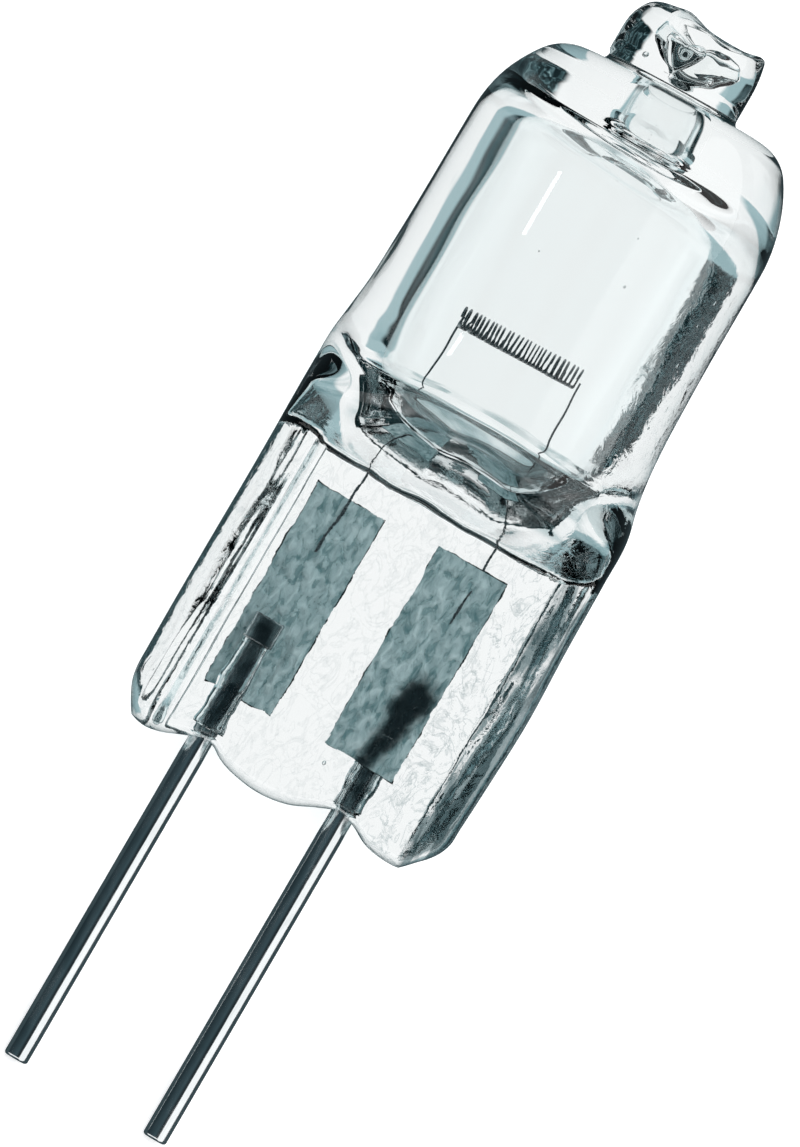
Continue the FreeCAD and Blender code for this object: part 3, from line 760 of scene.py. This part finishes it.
def make_foil(side):
    """A thin crinkled strip with a ragged outline."""
    share_across = np.linspace(0, 1, FOIL_COLUMNS)
    share_up = np.linspace(0, 1, FOIL_ROWS)
    left, right, low, high = foil_outline(side, share_across, share_up)
    across, up = np.meshgrid(share_across, share_up)
    u = left + (right - left) * across
    w = low + (high - low) * up
    crinkles = [(scale, height, seed + side) for scale, height, seed in CRINKLES]
    plane = unevenness(points_of(u, 0, w), crinkles) - side * FOIL_PLANE
    half = FOIL_HALF * (1 - 0.8 * smoothstep(0.6, 1.0, np.abs(2 * across - 1)))
    points = [points_of(u, plane + way * half, w).reshape(-1, 3) for way in (-1, 1)]
    faces = sheet_faces(FOIL_ROWS, FOIL_COLUMNS)
    return new_mesh(f"foil_strip_{side_name(side)}", np.concatenate(points), faces)


# Pins
PIN_SEALED = {LEFT: 3.9, RIGHT: 3.35}
PIN_FREE_START = PIN_END + PIN_CHAMFER + 0.1
SEALED_RADIUS = PIN_RADIUS - 0.01
SEALED_EDGE = 0.03
BLOCK_START = 3.22
BLOCK_HALF = 0.4
BLOCK_SQUARE = 6
# The waist and the flattened end of the left pin, as radius, height and squareness
LEFT_END = [
    (SEALED_RADIUS - 0.05, BLOCK_START - 0.03, 0.3),
    (BLOCK_HALF, BLOCK_START, 1),
    (BLOCK_HALF, BLOCK_START + 0.04, 1),
    (BLOCK_HALF, PIN_SEALED[LEFT] - 0.06, 1),
    (BLOCK_HALF, PIN_SEALED[LEFT] - 0.02, 1),
    (BLOCK_HALF - 0.04, PIN_SEALED[LEFT], 1),
]


def pin_profile(side):
    """Radius, height and squareness up a pin, from its rounded free end to its sealed one."""
    sealed = PIN_SEALED[side]
    profile = [
        (PIN_RADIUS - PIN_CHAMFER * (1 - math.sin(a)), PIN_END + PIN_CHAMFER * (1 - math.cos(a)), 0)
        for a in np.linspace(0, QUARTER_TURN, 7)
    ]
    profile += [(PIN_RADIUS, w, 0) for w in np.linspace(PIN_FREE_START, PIN_FREE_TOP, 24)]
    sealed_top = BLOCK_START - 0.08 if side == LEFT else sealed - SEALED_EDGE
    profile += [(SEALED_RADIUS, w, 0) for w in np.linspace(0.2, sealed_top, 14)]
    return profile + (LEFT_END if side == LEFT else [(SEALED_RADIUS - SEALED_EDGE, sealed, 0)])


def make_pin(side):
    """A drawn wire with a rounded free end. The sealed end of the left one is flattened to a square."""
    x, way = around_circle(48)
    square = (np.abs(x) ** BLOCK_SQUARE + np.abs(way) ** BLOCK_SQUARE) ** (-1 / BLOCK_SQUARE)
    rings = []
    for radius, w, squared in pin_profile(side):
        reach = radius * (1 + (square - 1) * squared)
        rings.append(points_of(reach * x + pin_u(side), reach * way, w))
    shell = Shell()
    shell.add(rings, (pin_u(side), 0, PIN_END), (pin_u(side), 0, PIN_SEALED[side]))
    return shell.build(f"pin_wire_{side_name(side)}")


# Materials
class Graph:
    """A node tree that is built from the end shader back, with short calls for its usual nodes."""

    def __init__(self, owner, output):
        owner.use_nodes = True
        self.nodes = owner.node_tree.nodes
        self.links = owner.node_tree.links
        self.nodes.clear()
        self.out = self.add(output)

    def add(self, kind, **settings):
        node = self.nodes.new("ShaderNode" + kind)
        for name, value in settings.items():
            setattr(node, name, value)
        return node

    def put(self, socket, value):
        """Sets a socket to a number or colour, or links another socket to it."""
        if hasattr(value, "links"):
            self.links.new(value, socket)
        elif isinstance(value, tuple) and len(value) == 3 and socket.type == "RGBA":
            socket.default_value = (*value, 1)
        else:
            socket.default_value = value

    def make(self, kind, inputs, output=0, **settings):
        """A node with its inputs by name or number, as its output socket."""
        node = self.add(kind, **settings)
        for name, value in inputs.items():
            self.put(node.inputs[name], value)
        return node.outputs[output]

    def math(self, operation, one, other=0.0):
        return self.make("Math", {0: one, 1: other}, operation=operation)

    def product(self, *values):
        result, *others = values
        for value in others:
            result = self.math("MULTIPLY", result, value)
        return result

    def largest(self, *values):
        result, *others = values
        for value in others:
            result = self.math("MAXIMUM", result, value)
        return result

    def size(self, value):
        return self.math("ABSOLUTE", value)

    def centred(self, value):
        return self.math("SUBTRACT", value, 0.5)

    def part(self, vector, letter):
        return self.make("SeparateXYZ", {0: vector}, letter)

    def along(self, vector):
        """How far a vector goes along the lamp's axis."""
        return self.make("VectorMath", {0: vector, 1: tuple(AXIS)}, "Value", operation="DOT_PRODUCT")

    def step(self, value, low, high, start=0.0, end=1.0):
        """Rises smoothly from start to end while the value goes from low to high."""
        if low > high:
            low, high, start, end = high, low, end, start
        inputs = {"Value": value, "From Min": low, "From Max": high, "To Min": start, "To Max": end}
        return self.make("MapRange", inputs, interpolation_type="SMOOTHSTEP")

    def noise(self, vector, scale, detail=4.0, distortion=0.0):
        inputs = {"Vector": vector, "Scale": scale, "Detail": detail, "Distortion": distortion}
        return self.make("TexNoise", inputs)

    def stretched(self, vector, scale):
        return self.make("Mapping", {"Vector": vector, "Scale": scale})

    def ramp(self, factor, *stops):
        node = self.add("ValToRGB")
        elements = node.color_ramp.elements
        while len(elements) < len(stops):
            elements.new(1.0)
        for element, (position, colour) in zip(elements, stops):
            element.position = position
            element.color = (*colour, 1)
        self.put(node.inputs["Fac"], factor)
        return node.outputs["Color"]

    def mix(self, factor, one, other):
        """One shader where the factor is 0 and the other where it is 1."""
        return self.make("MixShader", {0: factor, 1: one, 2: other})

    def blend(self, factor, one, other):
        """One colour where the factor is 0 and the other where it is 1."""
        node = self.add("Mix", data_type="RGBA")
        colours = [socket for socket in node.inputs if socket.type == "RGBA"]
        self.put(node.inputs[0], factor)
        self.put(colours[0], one)
        self.put(colours[1], other)
        return next(socket for socket in node.outputs if socket.type == "RGBA")

    def coordinates(self, kind="Object"):
        return self.add("TexCoord").outputs[kind]

    def ray(self, kind):
        return self.add("LightPath").outputs[f"Is {kind} Ray"]

    def finish(self, shader):
        self.links.new(shader, self.out.inputs["Surface"])


def new_material(name):
    material = bpy.data.materials.new(name)
    return material, Graph(material, "OutputMaterial")


# Glass: its tint from a square look to a grazing one, a faint teal seen square and painted shade, down to
# dark teal, seen edge on
GRAZING_SHADE_TINTS = (
    (0.0, (0.965, 0.99, 0.99)),
    (0.4, (0.92, 0.965, 0.97)),
    (0.65, (0.74, 0.83, 0.84)),
    (0.85, (0.4, 0.53, 0.55)),
    (1.0, (0.05, 0.1, 0.12)),
)
# Where the frame's metres pass into a zone, along the frame's Y or across it in X: the pressed pinch, its
# crushed right part, and the pitted right wall of the bulb
PRESSED_ALONG = (0.0021, 0.0013)
CRUSHED_ACROSS = (0.0022, 0.0028)
PITTED_ACROSS = (0.0023, 0.0029)
PITTED_ALONG = (0.0105, 0.0095)
# Colour of the painted shade along the glass's fine creases
CREASE_SHADE_TINT = (0.2, 0.3, 0.32)
# Painted shade in streaks on the right flange: where it lies across, how strong and its colour
FLANGE_SHADE_FROM = (0.00352, 0.00364)
FLANGE_SHADE_TO = (0.0045, 0.0044)
FLANGE_SHADE_STRENGTH = (0.58, 0.48, 0.1, 0.95)
FLANGE_SHADE_TINT = (0.035, 0.08, 0.09)
# Painted shade in bands round the hollow's lower end: how far it reaches, how strong and its colour
BOWL_SHADE_ALONG = (0.0009, 0.0007)
BOWL_SHADE_ACROSS = (0.0034, 0.003)
BOWL_SHADE_STRENGTH = (0.6, 0.45, 0.15, 0.8)
BOWL_SHADE_TINT = (0.22, 0.36, 0.38)


def crease_shade(graph, place_on, pressed, crushed):
    """Painted shade along fine creases in the pressed glass, stronger where it was crushed."""
    level = graph.noise(graph.stretched(place_on, (1, 0.6, 1)), 1500.0, 4.0, 1.5)
    line = graph.step(graph.size(graph.centred(level)), 0.035, 0.0)
    strength = graph.math("ADD", graph.product(crushed, 0.35), 0.2)
    return graph.product(line, pressed, strength)


def flange_shade(graph, place_on, across, pressed):
    """Painted shade on the right flange, in streaks that run along it and right through it."""
    level = graph.noise(graph.stretched(place_on, (1, 0.16, 0)), 1700.0, 4.0, 0.6)
    zone = graph.product(graph.step(across, *FLANGE_SHADE_FROM), graph.step(across, *FLANGE_SHADE_TO))
    return graph.product(graph.step(level, *FLANGE_SHADE_STRENGTH), zone, pressed)


def bowl_shade(graph, place_on, across):
    """Painted shade round the hollow's lower end, in bands that run across it."""
    middle = tuple(to_frame([(0, 0, 9.9)])[0])
    away = graph.make("VectorMath", {0: place_on, 1: middle}, "Vector", operation="SUBTRACT")
    rise = graph.step(graph.size(graph.along(away)), *BOWL_SHADE_ALONG)
    level = graph.noise(graph.stretched(place_on, (0.25, 1, 0)), 1500.0, 3.0, 0.5)
    within = graph.step(graph.size(across), *BOWL_SHADE_ACROSS)
    return graph.product(graph.step(level, *BOWL_SHADE_STRENGTH), rise, within)


def grain(graph, place_on, pressed, crushed, pitted):
    """The glass's fine relief, strongest on the pressed pinch and faint on the blown bulb."""
    pressed = graph.product(pressed, graph.math("ADD", graph.product(crushed, 1.6), 0.7))
    rough = graph.math("ADD", graph.largest(pressed, pitted), 0.0003)
    height = graph.product(graph.noise(place_on, 1900.0, 3.0, 1.2), rough)
    inputs = {"Strength": 0.3, "Distance": 0.00006, "Height": height}
    return graph.make("Bump", inputs, "Normal")


def glass_material():
    """Clear glass with a faint teal tint and a finely uneven surface, with painted shade: dark teal where it
    is seen edge on, along fine creases, in streaks on the right flange and in bands round the hollow's lower
    end.
    """
    material, graph = new_material("clear_glass")
    place_on = graph.coordinates()
    across = graph.part(place_on, "X")
    along = graph.part(place_on, "Y")
    pressed = graph.step(along, *PRESSED_ALONG)
    crushed = graph.step(across, *CRUSHED_ACROSS)
    pitted = graph.step(across, *PITTED_ACROSS, 0.0, 0.6)
    pitted = graph.product(pitted, graph.step(along, *PITTED_ALONG))
    # Painted shade: the glass darkens to teal where it is seen edge on
    tint = graph.ramp(graph.make("LayerWeight", {"Blend": 0.25}, "Facing"), *GRAZING_SHADE_TINTS)
    # Painted shade along fine creases in the pressed glass
    tint = graph.blend(crease_shade(graph, place_on, pressed, crushed), tint, CREASE_SHADE_TINT)
    # Painted shade in streaks on the right flange
    tint = graph.blend(flange_shade(graph, place_on, across, pressed), tint, FLANGE_SHADE_TINT)
    # Painted shade in bands round the hollow's lower end
    tint = graph.blend(bowl_shade(graph, place_on, across), tint, BOWL_SHADE_TINT)
    glass = graph.make("BsdfPrincipled", {
        "Base Color": tint,
        "Roughness": 0.0,
        "IOR": 1.46,
        "Transmission Weight": 1.0,
        "Normal": grain(graph, place_on, pressed, crushed, pitted),
    })
    clear = graph.make("BsdfTransparent", {"Color": (0.9, 0.94, 0.94)})
    graph.finish(graph.mix(graph.ray("Shadow"), glass, clear))
    return material


# Metals
METAL_LOW, METAL_HIGH = 0.3, 0.7


def near_point(graph, place_on, point, size):
    """Rises to 1 towards a point given in the lamp's millimetres, with a ragged edge."""
    centre = tuple(to_frame([point])[0])
    away = graph.make("VectorMath", {0: place_on, 1: centre}, "Value", operation="DISTANCE")
    rag = graph.product(graph.centred(graph.noise(place_on, 1800.0)), size * MM)
    return graph.step(graph.math("ADD", away, rag), size * MM, size * MM * 0.2)


def dark_rim(graph, colour, darkening, rim):
    """Darkens a piece's edges, a rim of this share of its width and a third of it at its ends."""
    within = graph.coordinates("Generated")
    for letter, width in (("X", rim), ("Y", rim / 3)):
        out = graph.size(graph.centred(graph.part(within, letter)))
        colour = graph.blend(graph.step(out, 0.5 - 1.5 * width, 0.5 - width), colour, darkening)
    return colour


def metal_material(
    name, dark, light, gloss, scale, stretch, bump, metallic, dark_spots=(), darkening=None, rim=0
):
    """Metal with uneven colour, gloss and relief, darker spots given as place and size, and a dark rim."""
    material, graph = new_material(name)
    place_on = graph.coordinates()
    level = graph.noise(graph.stretched(place_on, stretch), scale, 6.0, 0.6)
    relief = graph.make("Bump", {"Strength": 1.0, "Distance": bump * MM, "Height": level}, "Normal")
    colour = graph.ramp(level, (METAL_LOW, dark), (METAL_HIGH, light))
    if rim:
        colour = dark_rim(graph, colour, darkening, rim)
    for point, size in dark_spots:
        colour = graph.blend(near_point(graph, place_on, point, size), colour, darkening)
    graph.finish(graph.make("BsdfPrincipled", {
        "Base Color": colour,
        "Roughness": graph.step(level, METAL_LOW, METAL_HIGH, *gloss),
        "Metallic": metallic,
        "Normal": relief,
    }))
    return material


# The dark patch over the right pin's weld, as spots that go up the foil, and spots of painted shade along the
# sealed pins
WELD_PATCH_SPOTS = [((1.68 + 0.06 * k, -0.33, 2.0 + 0.3 * k), 0.42 + 0.035 * k) for k in range(8)]
SEAL_SHADE_SPOTS = [((pin_u(side), 0, w), 0.8) for side in (LEFT, RIGHT) for w in np.arange(1.0, 4.5, 0.5)]
METALS = {
    "tungsten_wire": dict(
        dark=(0.1, 0.11, 0.12), light=(0.25, 0.27, 0.28), gloss=(0.2, 0.35),
        scale=9000.0, stretch=(1, 1, 1), bump=0.004, metallic=1.0,
    ),
    "molybdenum_foil": dict(
        dark=(0.16, 0.3, 0.32), light=(0.82, 0.98, 1.0), gloss=(0.2, 0.45),
        scale=5200.0, stretch=(1, 0.45, 1), bump=0.08, metallic=0.4,
        dark_spots=WELD_PATCH_SPOTS, darkening=(0.008, 0.016, 0.019), rim=0.02,
    ),
    "pin_metal": dict(
        dark=(0.7, 0.74, 0.75), light=(0.9, 0.93, 0.94), gloss=(0.06, 0.2),
        scale=3000.0, stretch=(1, 0.15, 1), bump=0.0024, metallic=1.0,
        # The darkening colour here is the sealed pins' painted shade
        dark_spots=SEAL_SHADE_SPOTS, darkening=(0.035, 0.055, 0.065),
    ),
}


# Stage: a white floor, a white surround for the camera and soft lamps
WHITE = (1, 1, 1)
FLOOR_GLOW = 0.5
FLOOR_SIZE = 3.0
FLOOR_DROP = 0.00002


def floor_material():
    """White, with the object's shadow. Seen through glass it is open, and in metal it is dark."""
    material, graph = new_material("floor")
    paint = graph.make("BsdfDiffuse", {"Color": (0.9, 0.9, 0.9)})
    glow = graph.make("Emission", {"Color": WHITE, "Strength": FLOOR_GLOW})
    seen = graph.mix(graph.ray("Camera"), paint, graph.make("AddShader", {0: paint, 1: glow}))
    dark = graph.make("Emission", {"Color": (0.05, 0.075, 0.085), "Strength": 1.0})
    mirrored = graph.mix(graph.ray("Glossy"), seen, dark)
    graph.finish(graph.mix(graph.ray("Transmission"), mirrored, graph.make("BsdfTransparent", {})))
    return material


def make_floor():
    ways = ((-1, -1), (1, -1), (1, 1), (-1, 1))
    corners = [(x * FLOOR_SIZE, y * FLOOR_SIZE, -FLOOR_DROP) for x, y in ways]
    mesh = bpy.data.meshes.new("floor")
    mesh.from_pydata(corners, [], [(0, 1, 2, 3)])
    floor = bpy.data.objects.new("floor", mesh)
    bpy.context.scene.collection.objects.link(floor)
    mesh.materials.append(floor_material())


# What glass sees, by direction: a white field below it, teal to its left, and dark beyond. A direction has
# a share across, one up and one along the lamp's axis.
FIELD_LEFT = 0.5
FIELD_RIGHT = 0.47
FIELD_UP = 0.95
FIELD_DOWN = 0.62
EDGE_WAVES = 0.12
# The field is wider towards the pins, where the dome looks
DOME_SHARE = 1.6
SHADE = (0.003, 0.011, 0.013)
TEAL = (0.36, 0.51, 0.54)
SPECKLES = (
    (0.48, SHADE),
    (0.58, (0.045, 0.09, 0.1)),
    (0.68, (0.2, 0.32, 0.34)),
    (0.8, (0.6, 0.75, 0.76)),
)
SMOOTH_SHADES = ((0.45, SHADE), (0.75, (0.12, 0.2, 0.22)))
BELOW_SHADES = ((0.5, SHADE), (0.68, (0.03, 0.065, 0.07)), (0.84, (0.17, 0.28, 0.3)))
HORIZON = ((0.35, (0.2, 0.3, 0.32)), (0.55, (0.86, 0.94, 0.95)))
OVERHEAD = ((0.35, (0.01, 0.02, 0.025)), (0.7, (0.25, 0.36, 0.38)))


def glass_sky(graph, way, up):
    """Bright clouds at the horizon and dark ones overhead."""
    cloud = graph.noise(way, 3.0, 4.0)
    return graph.blend(graph.step(up, 0.1, 0.35), graph.ramp(cloud, *HORIZON), graph.ramp(cloud, *OVERHEAD))


def glass_surround(graph, way):
    across = graph.part(way, "X")
    up = graph.part(way, "Z")
    along = graph.along(way)
    waves = graph.product(graph.centred(graph.noise(way, 4.0, 3.0)), EDGE_WAVES)
    breadth = graph.step(along, -0.08, -0.22, 1.0, DOME_SHARE)
    right = graph.math("DIVIDE", graph.math("DIVIDE", across, FIELD_RIGHT), breadth)
    left = graph.math("DIVIDE", graph.math("DIVIDE", across, -FIELD_LEFT), breadth)
    ends = graph.largest(graph.math("DIVIDE", along, FIELD_UP), graph.math("DIVIDE", along, -FIELD_DOWN))
    speckled = graph.ramp(graph.noise(way, 16.0, 5.0, 1.0), *SPECKLES)
    smooth = graph.ramp(graph.noise(way, 3.0, 2.0, 0.4), *SMOOTH_SHADES)
    outside = graph.blend(graph.step(across, 0.2, 0.3), smooth, speckled)
    beside = graph.step(graph.math("ADD", left, waves), 1.5, 1.35)
    beside = graph.product(beside, graph.step(across, 0.0, -0.1))
    upper = graph.product(graph.step(along, 0.14, 0.22), graph.step(across, 0.1, 0.2))
    outside = graph.blend(graph.largest(beside, upper), outside, TEAL)
    outside = graph.blend(graph.step(up, -0.42, -0.28), outside, glass_sky(graph, way, up))
    ahead = graph.product(graph.step(graph.size(across), 0.95, 0.8), graph.step(along, -0.42, -0.52))
    outside = graph.blend(ahead, outside, graph.ramp(graph.noise(way, 7.0, 4.0, 1.0), *BELOW_SHADES))
    edge = graph.math("ADD", graph.largest(left, right, ends), waves)
    field = graph.product(graph.step(edge, 1.06, 0.94), graph.math("LESS_THAN", up, 0.0))
    window = graph.product(graph.step(graph.size(across), 0.34, 0.28), graph.step(along, -0.86, -0.89))
    return graph.blend(graph.largest(field, window), outside, WHITE)


# What metal mirrors, in the same way
PANEL = (1.15, 1.15, 1.15)
METAL_SHADES = (
    (0.0, (0.02, 0.035, 0.042)),
    (0.42, (0.05, 0.085, 0.1)),
    (0.6, (0.02, 0.03, 0.035)),
)


def metal_surround(graph, way):
    """Dark, with a bright panel to the right that reaches from the floor nearly overhead, and one below."""
    across = graph.part(way, "X")
    along = graph.along(way)
    lower = graph.product(graph.step(along, -0.26, -0.32), graph.step(along, -0.75, -0.65))
    dark = graph.ramp(graph.math("ADD", graph.product(across, 0.5), 0.5), *METAL_SHADES)
    return graph.blend(graph.largest(graph.step(across, 0.44, 0.5), lower), dark, PANEL)


def make_world():
    """White for the camera, plain soft light for the rest, and surrounds of their own for glass and metal."""
    world = bpy.data.worlds.new("surround")
    bpy.context.scene.world = world
    graph = Graph(world, "OutputWorld")
    way = graph.coordinates("Generated")
    shader = graph.make("Background", {"Color": (0.94, 0.98, 1), "Strength": 0.45})
    for kind, colour in (
        ("Glossy", metal_surround(graph, way)),
        ("Transmission", glass_surround(graph, way)),
        ("Camera", WHITE),
    ):
        background = graph.make("Background", {"Color": colour, "Strength": 1.0})
        shader = graph.mix(graph.ray(kind), shader, background)
    graph.finish(shader)


# Soft lamps, as the direction they shine from in degrees round and up, distance, size and power
SOFT_LAMPS = {
    "overhead": (60, 75, 0.3, (0.24, 0.24), 0.55),
    "side": (0, 38, 0.2, (0.16, 0.05), 0.12),
}
LAMP_TARGET = Vector((0, 0, 0.004))
# Small lamps whose reflections streak the bulb, as the place of the streak's middle and its length and width
GLINTS = {
    "glint_left": (-1.46, 16.65, 1.8, 0.1),
    "glint_right": (1.79, 13.35, 2.1, 0.06),
    "glint_side": (2.19, 13.3, 3.3, 0.07),
}
GLINT_AWAY = 200.0
GLINT_GLOW = 9.0


def new_lamp(name, size, power, matrix):
    """A rectangular lamp that neither the camera nor a look through the glass shows."""
    data = bpy.data.lights.new(name, "AREA")
    data.shape = "RECTANGLE"
    data.size, data.size_y = size
    data.energy = power
    lamp = bpy.data.objects.new(name, data)
    bpy.context.scene.collection.objects.link(lamp)
    lamp.matrix_world = matrix
    lamp.visible_camera = False
    lamp.visible_transmission = False
    return lamp


def add_soft_lamp(name, azimuth, elevation, distance, size, power):
    """A soft lamp that looks at the object from a direction and isn't mirrored in it."""
    turn, rise = math.radians(azimuth), math.radians(elevation)
    away = Vector((math.cos(turn) * math.cos(rise), math.sin(turn) * math.cos(rise), math.sin(rise)))
    spin = away.to_track_quat("Z", "Y").to_matrix().to_4x4()
    lamp = new_lamp(name, size, power, Matrix.Translation(LAMP_TARGET + away * distance) @ spin)
    lamp.visible_glossy = False


def add_glint(name, u, w, length, width):
    """A lamp placed so that the camera sees it mirrored in the bulb at one place."""
    turn = math.asin(u / BULB_RADIUS)
    slope = (w - VIEW_MIDDLE.z) * MM / CAMERA_DISTANCE
    away = Vector((math.sin(2 * turn), -math.cos(2 * turn), slope)) * GLINT_AWAY
    mirror = Vector((u, -BULB_RADIUS * math.cos(turn), w))
    along = length * (1 + GLINT_AWAY * MM / CAMERA_DISTANCE) * MM
    across = 2 * width / (BULB_RADIUS * math.cos(turn)) * GLINT_AWAY * MM
    facing = (LAMP.to_3x3() @ away).normalized()
    right = AXIS.cross(facing).normalized()
    spin = Matrix((right, facing.cross(right), facing)).transposed().to_4x4()
    power = GLINT_GLOW * math.pi * across * along
    new_lamp(name, (across, along), power, Matrix.Translation(LAMP @ (mirror + away)) @ spin)


def make_lamps():
    for name, lamp in SOFT_LAMPS.items():
        add_soft_lamp(name, *lamp)
    for name, glint in GLINTS.items():
        add_glint(name, *glint)


bpy.context.scene.view_settings.view_transform = "Standard"
make_camera()
make_floor()
make_world()
make_lamps()

GLASS = glass_material()
TUNGSTEN, FOIL, PIN = [metal_material(name, **look) for name, look in METALS.items()]

place(make_glass(), "clear_glass", GLASS, "glass_envelope")
place(make_filament(), "tungsten_wire", TUNGSTEN, "filament")
for side in (LEFT, RIGHT):
    place(make_foil(side), "molybdenum_foil", FOIL, f"foil_{side_name(side)}")
    place(make_pin(side), "pin_metal", PIN, f"contact_pin_{side_name(side)}")
